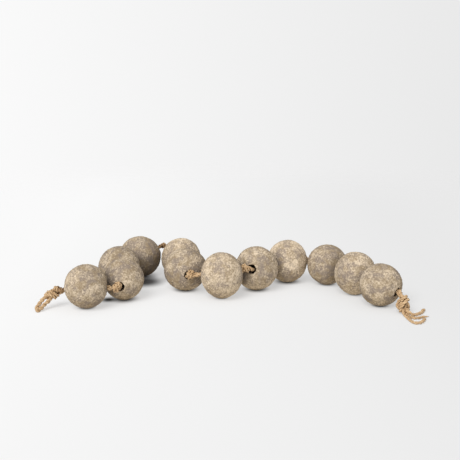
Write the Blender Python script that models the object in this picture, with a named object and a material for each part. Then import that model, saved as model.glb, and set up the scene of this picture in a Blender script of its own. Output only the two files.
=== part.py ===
"""A garland of papier-mache balls strung on doubled jute twine.

It lies on a flat surface at z = 0 in a loose wave, as it was put down: the string runs from a
hanging loop at the left, through twelve hand-formed balls, to a knot with free ends at the right.
Units are metres, +X runs along the garland, +Y away from its front, +Z up.
"""
import math
from collections import namedtuple

import bmesh
import bpy
from mathutils import Vector

MM = 0.001

# Driving dimensions of a ball
HOLE_WIDTH = 14.0 * MM
FLAT_DEPTH = 0.8 * MM
UNEVENNESS = 0.8 * MM
BALL_SIDES = 20
BALL_RINGS = 13
HOLE_SIDES = 14
CUTTER_REACH = 8.0 * MM

# Driving dimensions of the twine. It is two strands laid side by side, which turn once round
# each other in PAIR_LAY. A knot is a swelling with ridges that wrap round it. MOUTH_DEPTH is how
# deep inside a hole's mouth the route is fixed, and SEAT_GAP the air under it where it lies.
STRAND_WIDTH = 3.8 * MM
STRAND_RIDGE = 0.5 * MM
STRAND_LAY = 13.0 * MM
PAIR_WIDTH = 6.8 * MM
PAIR_THICKNESS = 3.8 * MM
PAIR_LAY = 40.0 * MM
PAIR_SIDES = 10
KNOT_RIDGE = 0.12
KNOT_WRAP = 5.0
STRAND_SIDES = 8
SEAT_GAP = 0.4 * MM
MOUTH_DEPTH = 1.0 * MM

# Spacing of the cross sections along the twine
FINE_STEP = 1.8 * MM
COARSE_STEP = 7.0 * MM

# Where the first ball stands: its place on the surface, in millimetres
FIRST_BALL = (-199.8, -79.0)

# One row a ball, in the order of the string. Widths, heights and gaps are in millimetres and
# turns in degrees from +X towards +Y. "heading" points to the next ball and "gap" is the air
# between the two. The hole leaves the ball towards the last ball (in) and the next one (out),
# "tilt" is how far that way rises, and "aside" moves the hole off centre, away from the front.
# "low" is how far under the hole's middle line the twine lies where it comes out.
Ball = namedtuple("Ball", "width height gap heading in_turn in_tilt out_turn out_tilt aside low")
BALLS = (
    Ball(62.1, 64.0, 1.8, 38.7, 180.0, -5.0, 0.0, -3.0, 3.0, 3.2),
    Ball(60.3, 62.5, 0.4, 103.1, 265.0, -6.5, 85.0, 5.0, 0.0, 0.0),
    Ball(64.9, 65.2, 0.4, 66.7, 295.0, 6.0, 110.0, -5.0, 0.0, 0.0),
    Ball(66.8, 66.2, 2.4, -7.9, 210.0, -14.0, 30.0, 19.0, 0.0, 0.0),
    Ball(62.8, 66.0, 0.4, -80.8, 112.0, 14.0, 286.0, -4.0, 0.0, 0.0),
    Ball(66.7, 65.2, 3.8, -35.9, 95.0, 0.0, 282.0, -1.0, 0.0, 0.0),
    Ball(63.1, 69.4, 3.3, 38.5, 180.0, 0.0, 6.0, 6.0, 4.0, 0.0),
    Ball(66.0, 67.8, 0.4, 40.2, 256.0, 12.0, 76.0, -12.0, 0.0, 0.0),
    Ball(63.5, 67.4, 0.5, -11.8, 191.0, -6.0, 12.0, 6.0, 0.0, 0.0),
    Ball(63.4, 63.1, 0.4, -55.2, 145.0, 0.0, 325.0, 0.0, 0.0, 0.0),
    Ball(63.5, 65.2, 0.4, -62.8, 107.0, -2.0, 294.0, 2.0, 0.0, 0.0),
    Ball(61.7, 62.3, 0.0, 0.0, 120.0, 4.0, -46.0, -11.0, 0.0, 0.0),
)

# The knots that show between balls, in millimetres: after which ball, the middle's place
# measured from the first ball's place on the surface, half the length and the radius
Knot = namedtuple("Knot", "after across back height half_length radius")
KNOTS = (
    Knot(1, 42.2, 5.0, 24.8, 6.0, 5.8),
    Knot(4, 95.6, 177.0, 45.0, 6.0, 5.6),
    Knot(6, 145.8, 50.2, 32.6, 6.0, 6.0),
    Knot(7, 227.1, 54.1, 40.8, 5.5, 5.4),
)

# The string's two ends beyond the outer balls, from the far end inwards and from the last
# ball outwards. Radius is 0 where there is no knot. The last row is the blunt bundle of ends.
EndPoint = namedtuple("EndPoint", "across back height half_length radius")
LOOP_END = (
    EndPoint(-52.4, -2.9, 16.9, 0.0, 0.0),
    EndPoint(-48.2, -0.6, 19.9, 7.5, 6.8),
    EndPoint(-38.4, 2.4, 23.8, 5.0, 6.4),
)
TAIL_END = (
    EndPoint(444.3, -17.5, 22.0, 0.0, 0.0),
    EndPoint(449.0, -24.0, 12.4, 9.0, 5.8),
    EndPoint(448.0, -29.4, 6.4, 4.0, 4.6),
    EndPoint(447.2, -32.6, 4.9, 4.0, 4.4),
)

# The bight of twine that stands out at the left of the tail knot
KNOT_BIGHT = (
    (446.0, -20.5, 17.6),
    (439.8, -22.3, 16.4),
    (437.0, -24.4, 11.4),
    (438.8, -27.6, 6.6),
    (444.4, -29.4, 4.8),
    (447.6, -29.6, 5.8),
)

# Routes of the free strands, in millimetres from the first ball's place
HANGING_LOOP = (
    (-54.9, -3.2, 18.3),
    (-56.9, -4.9, 17.3),
    (-61.0, -9.6, 14.9),
    (-64.9, -14.2, 10.4),
    (-67.4, -19.2, 6.0),
    (-65.6, -22.6, 2.4),
    (-61.5, -19.2, 2.8),
    (-58.2, -14.2, 6.3),
    (-53.6, -9.4, 10.3),
    (-50.8, -6.8, 12.8),
    (-49.9, -5.5, 13.9),
)
UPPER_END = (
    (448.2, -35.5, 6.6),
    (449.7, -37.6, 6.2),
    (452.6, -39.5, 4.6),
    (456.2, -40.6, 2.6),
    (460.0, -39.8, 2.1),
    (465.0, -36.6, 2.1),
    (469.6, -31.8, 2.1),
    (473.2, -25.8, 2.1),
    (475.8, -19.5, 2.3),
)
MIDDLE_END = (
    (448.4, -33.6, 2.5),
    (449.0, -36.6, 2.2),
    (449.9, -41.0, 2.1),
    (451.0, -46.5, 2.1),
    (453.6, -51.6, 2.1),
    (457.6, -53.8, 2.1),
    (463.2, -52.4, 2.1),
    (469.3, -48.9, 2.1),
    (475.6, -46.6, 2.1),
)
LOWER_END = (
    (444.6, -33.0, 4.4),
    (444.8, -35.6, 3.2),
    (445.4, -40.0, 2.1),
    (446.3, -46.5, 2.1),
    (447.6, -56.0, 2.1),
    (449.4, -65.2, 2.1),
    (452.2, -72.3, 2.1),
    (456.5, -73.9, 2.1),
    (461.8, -70.6, 2.1),
    (466.7, -62.9, 2.1),
    (469.3, -56.6, 2.1),
)

PAPER_COLOURS = (
    (0.50, 0.43, 0.33, 1.0),
    (0.46, 0.40, 0.32, 1.0),
    (0.54, 0.45, 0.33, 1.0),
)
TWINE_COLOUR = (0.56, 0.37, 0.18, 1.0)


def clear_scene():
    for thing in list(bpy.data.objects):
        bpy.data.objects.remove(thing, do_unlink=True)


def material(name, colour, roughness):
    made = bpy.data.materials.new(name)
    made.use_nodes = True
    shader = made.node_tree.nodes["Principled BSDF"]
    shader.inputs["Base Color"].default_value = colour
    shader.inputs["Roughness"].default_value = roughness
    shader.inputs["Metallic"].default_value = 0.0
    return made


def add_object(name, mesh, surface):
    thing = bpy.data.objects.new(name, mesh)
    bpy.context.scene.collection.objects.link(thing)
    if surface:
        mesh.materials.append(surface)
    return thing


def direction(turn, tilt):
    """The unit vector at a turn from +X towards +Y and a tilt above the level, in degrees."""
    turn = math.radians(turn)
    tilt = math.radians(tilt)
    return Vector((math.cos(tilt) * math.cos(turn), math.cos(tilt) * math.sin(turn), math.sin(tilt)))


def from_first_ball(across, back, height):
    """A place in metres, from millimetres measured at the first ball's place on the surface."""
    return Vector((FIRST_BALL[0] + across, FIRST_BALL[1] + back, height)) * MM


def ball_middles():
    """The middles of the balls, each set off from the last by its heading and its gap."""
    place = Vector((FIRST_BALL[0], FIRST_BALL[1], 0)) * MM
    middles = [place + Vector((0, 0, BALLS[0].height * MM / 2 - FLAT_DEPTH))]
    for number, (ball, following) in enumerate(zip(BALLS, BALLS[1:]), start=1):
        way = direction(ball.heading, 0)
        near_half = ball.width * MM / 2 - dent(number, way)
        far_half = following.width * MM / 2 - dent(number + 1, -way)
        place = place + way * (near_half + ball.gap * MM + far_half)
        middles.append(place + Vector((0, 0, following.height * MM / 2 - FLAT_DEPTH)))
    return middles


def dent(number, way):
    """How far the hand-formed surface lies under the full size, in the direction way."""
    waves = (
        math.sin(3.1 * (way.x + 0.4 * way.y) + 1.7 * number),
        math.sin(3.7 * (way.y + 0.5 * way.z) + 2.3 * number),
        math.sin(4.3 * (way.z - 0.5 * way.x) + 3.1 * number),
    )
    return UNEVENNESS * (0.5 + sum(waves) / 6)


def ball_mesh(number, ball, middle):
    """An uneven ovoid with a round flat at z = 0 where it rests, built ring by ring."""
    half_width = ball.width * MM / 2
    half_height = ball.height * MM / 2
    flat_angle = math.acos(1 - FLAT_DEPTH / half_height)
    body = bmesh.new()
    rings = []
    for ring in range(BALL_RINGS):
        polar = flat_angle + (math.pi - flat_angle) * ring / BALL_RINGS
        verts = []
        for side in range(BALL_SIDES):
            turn = 2 * math.pi * side / BALL_SIDES
            way = Vector((math.sin(polar) * math.cos(turn), math.sin(polar) * math.sin(turn), -math.cos(polar)))
            sink = 0.0 if ring == 0 else dent(number, way)
            place = Vector((way.x * half_width, way.y * half_width, way.z * half_height)) - way * sink
            place += middle
            if ring == 0:
                place.z = 0.0
            verts.append(body.verts.new(place))
        rings.append(verts)
    for low, high in zip(rings, rings[1:]):
        for side in range(BALL_SIDES):
            after = (side + 1) % BALL_SIDES
            body.faces.new((low[side], low[after], high[after], high[side]))
    body.faces.new(list(reversed(rings[0])))
    top = body.verts.new(middle + Vector((0, 0, half_height - dent(number, Vector((0, 0, 1))))))
    for side in range(BALL_SIDES):
        body.faces.new((rings[-1][side], rings[-1][(side + 1) % BALL_SIDES], top))
    mesh = bpy.data.meshes.new("ball_%02d" % number)
    body.to_mesh(mesh)
    body.free()
    mesh.shade_smooth()
    return mesh


def smooth_route(corners, steps):
    """Points along a smooth curve through the corners, and each point's distance along it.

    It is a centripetal Catmull-Rom curve, which makes no loops of its own. steps holds the
    spacing wanted on each stretch between two corners.
    """
    padded = [corners[0] * 2 - corners[1]] + list(corners) + [corners[-1] * 2 - corners[-2]]
    points = []
    for index, step in enumerate(steps):
        p0, p1, p2, p3 = padded[index:index + 4]
        t1 = math.sqrt((p1 - p0).length)
        t2 = t1 + math.sqrt((p2 - p1).length)
        t3 = t2 + math.sqrt((p3 - p2).length)
        count = max(2, round((p2 - p1).length / step))
        for part in range(count):
            t = t1 + (t2 - t1) * part / count
            a1 = p0.lerp(p1, t / t1)
            a2 = p1.lerp(p2, (t - t1) / (t2 - t1))
            a3 = p2.lerp(p3, (t - t2) / (t3 - t2))
            b1 = a1.lerp(a2, t / t2)
            b2 = a2.lerp(a3, (t - t1) / (t3 - t1))
            points.append(b1.lerp(b2, (t - t1) / (t2 - t1)))
    points.append(corners[-1].copy())
    return points


def distances(points):
    along = [0.0]
    for last, point in zip(points, points[1:]):
        along.append(along[-1] + (point - last).length)
    return along


def swept_mesh(name, points, sides, radius_at):
    """A closed solid along the points. radius_at gives its radius for a distance and a turn."""
    along = distances(points)
    body = bmesh.new()
    rings = []
    side_way = None
    for index, point in enumerate(points):
        ahead = points[min(index + 1, len(points) - 1)]
        behind = points[max(index - 1, 0)]
        forward = (ahead - behind).normalized()
        if side_way is None:
            side_way = forward.orthogonal().normalized()
        side_way = (side_way - forward * side_way.dot(forward)).normalized()
        other_way = forward.cross(side_way)
        verts = []
        for side in range(sides):
            turn = 2 * math.pi * side / sides
            radius = radius_at(along[index], turn)
            offset = side_way * (math.cos(turn) * radius) + other_way * (math.sin(turn) * radius)
            verts.append(body.verts.new(point + offset))
        rings.append(verts)
    for low, high in zip(rings, rings[1:]):
        for side in range(sides):
            after = (side + 1) % sides
            body.faces.new((low[side], low[after], high[after], high[side]))
    body.faces.new(list(reversed(rings[0])))
    body.faces.new(rings[-1])
    mesh = bpy.data.meshes.new(name)
    body.to_mesh(mesh)
    body.free()
    mesh.shade_smooth()
    return mesh


def hole_way_point(ball, middle, turn, tilt, past):
    """Where the middle line of a ball's hole comes out, moved past the surface by past."""
    way = direction(turn, tilt)
    hole_middle = middle + Vector((0, ball.aside * MM, 0))
    half_width = ball.width * MM / 2
    half_height = ball.height * MM / 2
    scale = Vector((1 / half_width, 1 / half_width, 1 / half_height))
    start = Vector((a * b for a, b in zip(hole_middle - middle, scale)))
    ray = Vector((a * b for a, b in zip(way, scale)))
    half_b = start.dot(ray)
    reach = (-half_b + math.sqrt(half_b ** 2 - ray.dot(ray) * (start.dot(start) - 1))) / ray.dot(ray)
    return hole_middle + way * (reach + past)


def hole_cutter(number, ball, middle):
    """The bent bore, pierced from both sides to the middle, as a hidden cutting solid."""
    points = [
        hole_way_point(ball, middle, ball.in_turn, ball.in_tilt, CUTTER_REACH),
        middle + Vector((0, ball.aside * MM, 0)),
        hole_way_point(ball, middle, ball.out_turn, ball.out_tilt, CUTTER_REACH),
    ]
    mesh = swept_mesh("hole_%02d" % number, points, HOLE_SIDES, lambda along, turn: HOLE_WIDTH / 2)
    cutter = add_object("hole_%02d" % number, mesh, None)
    hide_helper(cutter)
    return cutter


def hide_helper(thing):
    thing.hide_render = True
    thing.display_type = "WIRE"


def boolean(thing, tool, operation):
    change = thing.modifiers.new(operation.title(), "BOOLEAN")
    change.operation = operation
    change.solver = "EXACT"
    change.object = tool


def make_balls(middles):
    surfaces = [material("paper_%d" % index, colour, 0.9) for index, colour in enumerate(PAPER_COLOURS)]
    for number, (ball, middle) in enumerate(zip(BALLS, middles), start=1):
        surface = surfaces[number % len(surfaces)]
        body = add_object("ball_%02d" % number, ball_mesh(number, ball, middle), surface)
        boolean(body, hole_cutter(number, ball, middle), "DIFFERENCE")


def string_corners(middles):
    """The string's corners from loop to tail, the spacing after each, and its knots."""
    corners = []
    steps = []
    knots = []

    def add(place, step, half_length=0.0, radius=0.0):
        if radius:
            knots.append((len(corners), half_length * MM, radius * MM))
        corners.append(place)
        steps.append(step)

    down = Vector((0, 0, -1))
    drop = down * ((HOLE_WIDTH - PAIR_WIDTH) / 2 - SEAT_GAP)
    for end in LOOP_END:
        add(from_first_ball(end.across, end.back, end.height), FINE_STEP, end.half_length, end.radius)
    for number, (ball, middle) in enumerate(zip(BALLS, middles), start=1):
        hole_middle = middle + Vector((0, ball.aside * MM, 0))
        low = down * ball.low * MM
        add(hole_way_point(ball, middle, ball.in_turn, ball.in_tilt, -MOUTH_DEPTH) + low, COARSE_STEP)
        add(hole_middle + drop, COARSE_STEP)
        add(hole_way_point(ball, middle, ball.out_turn, ball.out_tilt, -MOUTH_DEPTH) + low, FINE_STEP)
        for knot in KNOTS:
            if knot.after == number:
                place = from_first_ball(knot.across, knot.back, knot.height)
                add(place, FINE_STEP, knot.half_length, knot.radius)
    for end in TAIL_END:
        add(from_first_ball(end.across, end.back, end.height), FINE_STEP, end.half_length, end.radius)
    return corners, steps[:-1], knots


def make_string(middles, surface):
    """The doubled twine through all the balls, with its knots as ridged swellings."""
    corners, steps, knots = string_corners(middles)
    points = smooth_route(corners, steps)
    along = distances(points)
    knot_places = []
    for corner, half_length, radius in knots:
        nearest = min(range(len(points)), key=lambda index: (points[index] - corners[corner]).length)
        knot_places.append((along[nearest], half_length, radius))

    def radius_at(distance, turn):
        wave = math.cos(2 * (turn - 2 * math.pi * distance / PAIR_LAY))
        radius = (PAIR_WIDTH + PAIR_THICKNESS) / 4 + wave * (PAIR_WIDTH - PAIR_THICKNESS) / 4
        for middle, half_length, knot_radius in knot_places:
            part = (distance - middle) / half_length
            if abs(part) < 1:
                ridge = 1 + KNOT_RIDGE * math.cos(2 * turn + KNOT_WRAP * part)
                radius = max(radius, knot_radius * math.sqrt(1 - part ** 2) * ridge)
        return radius

    string = add_object("twine", swept_mesh("twine", points, PAIR_SIDES, radius_at), surface)
    bight = add_object("bight", strand_mesh("bight", KNOT_BIGHT), None)
    hide_helper(bight)
    boolean(string, bight, "UNION")


def strand_mesh(name, route):
    """One free strand of two-ply twine: its twist is the turning of its oval section."""
    corners = [from_first_ball(*place) for place in route]
    points = smooth_route(corners, [FINE_STEP] * (len(corners) - 1))

    def radius_at(distance, turn):
        wave = math.cos(2 * (turn - 2 * math.pi * distance / STRAND_LAY))
        return STRAND_WIDTH / 2 - STRAND_RIDGE * (1 - wave) / 2

    return swept_mesh(name, points, STRAND_SIDES, radius_at)


def make_garland():
    clear_scene()
    middles = ball_middles()
    twine_surface = material("jute_twine", TWINE_COLOUR, 0.95)
    make_balls(middles)
    make_string(middles, twine_surface)
    free_strands = (
        ("hanging_loop", HANGING_LOOP),
        ("upper_end", UPPER_END),
        ("middle_end", MIDDLE_END),
        ("lower_end", LOWER_END),
    )
    for name, route in free_strands:
        add_object(name, strand_mesh(name, route), twine_surface)


make_garland()
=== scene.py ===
# %% [markdown]
# # A garland of papier-mache balls on jute twine
# Twelve balls of paper pulp, formed by hand and dried, are strung on doubled jute twine and lie on
# a table in a loose wave. The lesson dresses a plain solid model of the garland: the solids say
# where everything lies, and the cells below replace them with pieces that have the real thing's
# surface. Everything is in metres, with the table at z = 0.

import math
import random

import bpy
import numpy as np
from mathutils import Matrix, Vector
from numpy.linalg import norm


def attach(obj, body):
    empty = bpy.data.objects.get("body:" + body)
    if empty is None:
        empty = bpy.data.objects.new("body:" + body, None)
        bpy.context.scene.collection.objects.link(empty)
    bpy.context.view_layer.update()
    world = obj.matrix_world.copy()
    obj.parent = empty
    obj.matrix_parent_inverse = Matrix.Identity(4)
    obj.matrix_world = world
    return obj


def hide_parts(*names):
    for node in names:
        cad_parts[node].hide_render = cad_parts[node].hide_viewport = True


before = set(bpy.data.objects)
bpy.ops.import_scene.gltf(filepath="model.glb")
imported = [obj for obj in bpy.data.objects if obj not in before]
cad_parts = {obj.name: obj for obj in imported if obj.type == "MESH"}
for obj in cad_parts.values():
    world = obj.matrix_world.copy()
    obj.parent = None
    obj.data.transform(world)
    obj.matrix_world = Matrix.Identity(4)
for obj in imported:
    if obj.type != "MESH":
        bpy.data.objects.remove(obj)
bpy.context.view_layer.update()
MM = 0.001

# %% [markdown]
# ## The camera
# A product photograph is taken from a little above, with a long lens that hardly distorts. The
# picture is a square, and a thing as wide as it is far away would be LENS_PIXELS wide in it, so
# the focal length follows from the width of Blender's sensor.

# %% Place the camera
CAMERA_PLACE = (0.0044, -1.2260, 0.3794)
LOOKS_DOWN = 13.07
PICTURE_PIXELS = 460
LENS_PIXELS = 842.7
SENSOR_WIDTH = 36
bpy.ops.object.camera_add(location=CAMERA_PLACE, rotation=(math.radians(90 - LOOKS_DOWN), 0, 0))
camera = bpy.context.object
camera.data.sensor_width = SENSOR_WIDTH
camera.data.lens = SENSOR_WIDTH * LENS_PIXELS / PICTURE_PIXELS
bpy.context.scene.camera = camera
print("lens %.1f mm" % camera.data.lens)

# %% [markdown]
# ## Lines for twine
# Twine is a line first. These helpers measure a line, space its points evenly, and lead a smooth
# curve through a few corners. Places are given from the first ball's place on the table, because
# they were measured from there.

# %% Helpers for lines
FIRST_BALL = (-199.8, -79.0)
FINE_STEP = 0.7 * MM


def from_first_ball(across, back, height):
    return np.array((FIRST_BALL[0] + across, FIRST_BALL[1] + back, height)) * MM


def unit(way):
    way = np.asarray(way, float)
    return way / norm(way)


def along(line):
    """How far along the line each of its points lies."""
    steps = norm(np.diff(line, axis=0), axis=1)
    return np.concatenate(([0.0], np.cumsum(steps)))


def respace(line, spacing):
    """The same line, with its points evenly spaced."""
    at = along(line)
    wanted = np.linspace(0, at[-1], max(4, round(at[-1] / spacing) + 1))
    return np.stack([np.interp(wanted, at, line[:, axis]) for axis in range(3)], axis=1)


def smooth_route(corners, step):
    """A smooth line through the corners: a centripetal Catmull-Rom curve, which never overshoots."""
    corners = [np.asarray(corner, float) for corner in corners]
    padded = [2 * corners[0] - corners[1]] + corners + [2 * corners[-1] - corners[-2]]
    points = []
    for p0, p1, p2, p3 in zip(padded, padded[1:], padded[2:], padded[3:]):
        t1 = math.sqrt(norm(p1 - p0))
        t2 = t1 + math.sqrt(norm(p2 - p1))
        t3 = t2 + math.sqrt(norm(p3 - p2))
        count = max(1, round(norm(p2 - p1) / step))
        t = (t1 + (t2 - t1) * np.arange(count) / count)[:, None]
        a1 = p0 + (p1 - p0) * t / t1
        a2 = p1 + (p2 - p1) * (t - t1) / (t2 - t1)
        a3 = p2 + (p3 - p2) * (t - t2) / (t3 - t2)
        b1 = a1 + (a2 - a1) * t / t2
        b2 = a2 + (a3 - a2) * (t - t1) / (t3 - t1)
        points.append(b1 + (b2 - b1) * (t - t1) / (t2 - t1))
    return np.concatenate(points + [corners[-1][None]])


# %% [markdown]
# ## Two-ply twine
# Jute twine is spun from long coarse fibres into two plies, which are then twisted round each
# other the other way. A real ply isn't round and isn't even: it is thicker and thinner, and its
# fibres run round it like the stripes of a barber's pole. So each ply is a tube that winds round
# the strand's line, with ribs that wind back. Its attribute fibre follows them, for the finish.

# %% Make a ribbed tube
FIBRE_LAY = 11 * MM
SLANT = (0.31, 0.23, 0.92)


def frames(line):
    """Three square directions at each point: ahead, and two across that turn as little as they can."""
    ahead = np.gradient(line, axis=0)
    ahead /= norm(ahead, axis=1, keepdims=True)
    side = np.empty_like(line)
    last = np.cross(ahead[0], SLANT)
    for index, way in enumerate(ahead):
        last = last - way * last.dot(way)
        last /= norm(last)
        side[index] = last
    return ahead, side, np.cross(ahead, side)


def round_tube(line, radii, sides, ribs, fibre_from):
    """A closed tube along the line: its points, its faces and the fibre attribute."""
    at = along(line)
    _, side, other = frames(line)
    turns = np.arange(sides) * 2 * math.pi / sides
    twist = turns[None] + 2 * math.pi * at[:, None] / FIBRE_LAY
    swell = 1 + ribs * (0.6 * np.cos(3 * twist) + 0.4 * np.cos(5 * twist + 1.3 * fibre_from))
    reach = (radii[:, None] * swell)[:, :, None]
    out = side[:, None] * np.cos(turns)[:, None] + other[:, None] * np.sin(turns)[:, None]
    places = line[:, None] + reach * out
    lengthwise = np.repeat(at[:, None] / FIBRE_LAY + fibre_from, sides, axis=1)
    fibre = np.stack((np.cos(twist), np.sin(twist), lengthwise), axis=2)
    rows = np.arange(len(line) - 1)[:, None] * sides
    low, after = np.arange(sides), (np.arange(sides) + 1) % sides
    quads = np.stack((rows + low, rows + after, rows + after + sides, rows + low + sides), axis=2)
    caps = [list(range(sides))[::-1], list(range((len(line) - 1) * sides, len(line) * sides))]
    return places.reshape(-1, 3), quads.reshape(-1, 4).tolist() + caps, fibre.reshape(-1, 3)


# %% Lay two plies along a line
STRAND_WIDTH = 3.8 * MM
LOOSE_WIDTH = 4.7 * MM
PLY_LAY = 13 * MM
PLY_REACH = 0.235
PLY_RADIUS = 0.290
PLY_SIDES = 12
PLY_RIBS = 0.07
UNEVEN_SHARE = 0.06
UNEVEN_STEP = 5 * MM


def lay_strand(line, widths, start_turn, seed):
    """The two plies of a strand, as tubes that are thicker and thinner by chance."""
    chance = np.random.default_rng(seed)
    at = along(line)
    _, side, other = frames(line)
    turn = 2 * math.pi * at / PLY_LAY + start_turn
    stops = np.arange(0, at[-1] + UNEVEN_STEP, UNEVEN_STEP)
    tubes = []
    for half in range(2):
        angle = (turn + math.pi * half)[:, None]
        ply = line + (side * np.cos(angle) + other * np.sin(angle)) * (PLY_REACH * widths)[:, None]
        uneven = UNEVEN_SHARE * chance.standard_normal(len(stops)).clip(-1.6, 1.6)
        thick = np.interp(at, stops, 1 + uneven)
        radii = PLY_RADIUS * widths * thick
        tubes.append(round_tube(ply, radii, PLY_SIDES, PLY_RIBS, 3.7 * seed + 9.1 * half))
    return tubes


# %% [markdown]
# ## Loose fibres
# Jute is never clean: ends of fibres stand off the twine all along it. Each fibre is a hair with
# three sides, which starts on the strand, follows it for a while and bends away. They are one
# mesh with their strand.

# %% Grow the loose fibres
HAIR_RADIUS = 0.07 * MM
HAIR_LIMIT = 3.2 * MM
HAIR_LOWEST = 0.2 * MM
HAIR_ROOT = 0.44


def hair(points, radius, fibre_from):
    line = smooth_route(points, FINE_STEP)
    taper = radius * (1 - 0.75 * np.linspace(0, 1, len(line)) ** 2)
    return round_tube(line, taper, 3, 0.0, fibre_from)


def loose_fibres(line, widths, spacing, seed):
    """Hairs along a strand, the same ones each time for the same seed. None goes far from it."""
    chance = random.Random(seed)
    at = along(line)
    ahead, side, other = frames(line)
    hairs = []
    for _ in range(int(at[-1] / spacing)):
        index = min(int(np.searchsorted(at, chance.uniform(0, at[-1]))), len(line) - 1)
        angle = chance.uniform(0, 2 * math.pi)
        out = side[index] * math.cos(angle) + other[index] * math.sin(angle)
        way = ahead[index] * chance.choice((-1, 1)) + np.cross(ahead[index], out) * chance.uniform(-0.7, 0.7)
        root = line[index] + out * widths[index] * HAIR_ROOT
        lift = chance.uniform(0.3, 1.2) * MM
        reach = chance.uniform(1.5, 3.6) * MM
        bend = np.cross(way, out) * chance.uniform(-0.5, 0.5) * MM
        tip = root + way * reach + out * lift + bend
        if tip[2] > HAIR_LOWEST and norm(line - tip, axis=1).min() < HAIR_LIMIT:
            points = [root, root + way * reach * 0.5 + out * lift * 0.35, tip]
            hairs.append(hair(points, HAIR_RADIUS * chance.uniform(0.7, 1.3), chance.uniform(0, 50)))
    return hairs


# %% Make one mesh of many tubes
def piece_of_tubes(name, tubes):
    """Joins tubes into one mesh object, pressed flat where it would sink into the table."""
    starts = np.cumsum([0] + [len(places) for places, _, _ in tubes])
    faces = [[corner + int(start) for corner in face]
             for start, (_, quads, _) in zip(starts, tubes) for face in quads]
    places = np.concatenate([places for places, _, _ in tubes])
    places[:, 2] = places[:, 2].clip(0)
    mesh = bpy.data.meshes.new(name)
    mesh.from_pydata(places.tolist(), [], faces)
    fibre = mesh.attributes.new("fibre", "FLOAT_VECTOR", "POINT")
    values = np.concatenate([fibres for _, _, fibres in tubes])
    fibre.data.foreach_set("vector", values.astype(np.float32).ravel())
    mesh.shade_smooth()
    piece = bpy.data.objects.new(name, mesh)
    bpy.context.scene.collection.objects.link(piece)
    print("%s: %d tubes, %d faces" % (name, len(tubes), len(faces)))
    return piece


# %% [markdown]
# ## The free ends
# At the left the doubled string comes back on itself as a loop to hang the garland by. At the
# right three ends lie loose behind the last knot. These four stretches are free cords: each is a
# known length of twine that leaves a knot and lies on the table. Where an end was cut, its plies
# open and the fibres fan out. The loop's twine has opened, so it is the thickest, and its two
# sides are pressed a little nearer each other than their route says.

# %% Routes of the free ends
HANGING_LOOP = (
    (-54.9, -3.2, 18.3), (-56.9, -4.9, 17.3), (-61.0, -9.6, 14.9), (-64.9, -14.2, 10.4),
    (-67.4, -19.2, 6.0), (-65.6, -22.6, 2.4), (-61.5, -19.2, 2.8), (-58.2, -14.2, 6.3),
    (-53.6, -9.4, 10.3), (-50.8, -6.8, 12.8), (-49.9, -5.5, 13.9),
)
UPPER_END = (
    (448.2, -35.5, 6.6), (449.7, -37.6, 6.2), (452.6, -39.5, 4.6), (456.2, -40.6, 2.6),
    (460.0, -39.8, 2.1), (465.0, -36.6, 2.1), (469.6, -31.8, 2.1), (473.2, -25.8, 2.1),
    (475.8, -19.5, 2.3),
)
MIDDLE_END = (
    (448.4, -33.6, 2.5), (449.0, -36.6, 2.2), (449.9, -41.0, 2.1), (451.0, -46.5, 2.1),
    (453.6, -51.6, 2.1), (457.6, -53.8, 2.1), (463.2, -52.4, 2.1), (469.3, -48.9, 2.1),
    (475.6, -46.6, 2.1),
)
LOWER_END = (
    (444.6, -33.0, 4.4), (444.8, -35.6, 3.2), (445.4, -40.0, 2.1), (446.3, -46.5, 2.1),
    (447.6, -56.0, 2.1), (449.4, -65.2, 2.1), (452.2, -72.3, 2.1), (456.5, -73.9, 2.1),
    (461.8, -70.6, 2.1), (466.7, -62.9, 2.1), (469.3, -56.6, 2.1),
)


def frayed_tip(line, width, count, spread, length, seed):
    """A fan of fibres that carries on from the end of a line."""
    chance = random.Random(seed)
    ahead, side, other = frames(line)
    fibres = []
    for _ in range(count):
        angle = chance.uniform(0, 2 * math.pi)
        off = math.sqrt(chance.uniform(0, 1))
        out = side[-1] * math.cos(angle) + other[-1] * math.sin(angle)
        root = line[-1] - ahead[-1] * 1.5 * MM + out * off * width * 0.38
        reach = chance.uniform(0.45, 1.0) * length
        tip = root + ahead[-1] * reach + out * off * spread * reach
        tip[2] = max(tip[2], 0.25 * MM)
        middle = root + ahead[-1] * reach * 0.5 + out * off * spread * reach * 0.25
        radius = HAIR_RADIUS * chance.uniform(1.2, 2.2)
        fibres.append(hair([root, middle, tip], radius, chance.uniform(0, 50)))
    return fibres


# %% From a route to a cord's tubes
LOOP_PRESSED = 0.24
FOLD_SWELL = 0.10
FOLD_REACH = 6 * MM
TIP_REACH = 7 * MM
END_HAIRS = 0.7 * MM


def drawn_together(line, share):
    """A loop's line with its two sides nearer each other, most of all at its fold."""
    ends = (line[0] + line[-1]) / 2
    axis = line[len(line) // 2] - ends
    reach = (line - ends) @ axis / (axis @ axis)
    off = line - ends - reach[:, None] * axis
    return line - off * share * (0.4 + 0.9 * reach[:, None])


def route_of(corners):
    return smooth_route([from_first_ball(*corner) for corner in corners], FINE_STEP)


def free_strand(route, start_turn, seed, tip_taper, thickness, pressed):
    """The tubes of a cord: thickness is for all of it, and tip_taper is for its last stretch."""
    line = drawn_together(route, pressed)
    at = along(line)
    widths = LOOSE_WIDTH * thickness * np.interp(at[-1] - at, (0, TIP_REACH), (tip_taper, 1.0))
    if pressed:
        widths *= 1 + FOLD_SWELL * np.exp(-((at - at[-1] / 2) / FOLD_REACH) ** 2)
    return lay_strand(line, widths, start_turn, seed) + loose_fibres(line, widths, END_HAIRS, seed)


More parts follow.
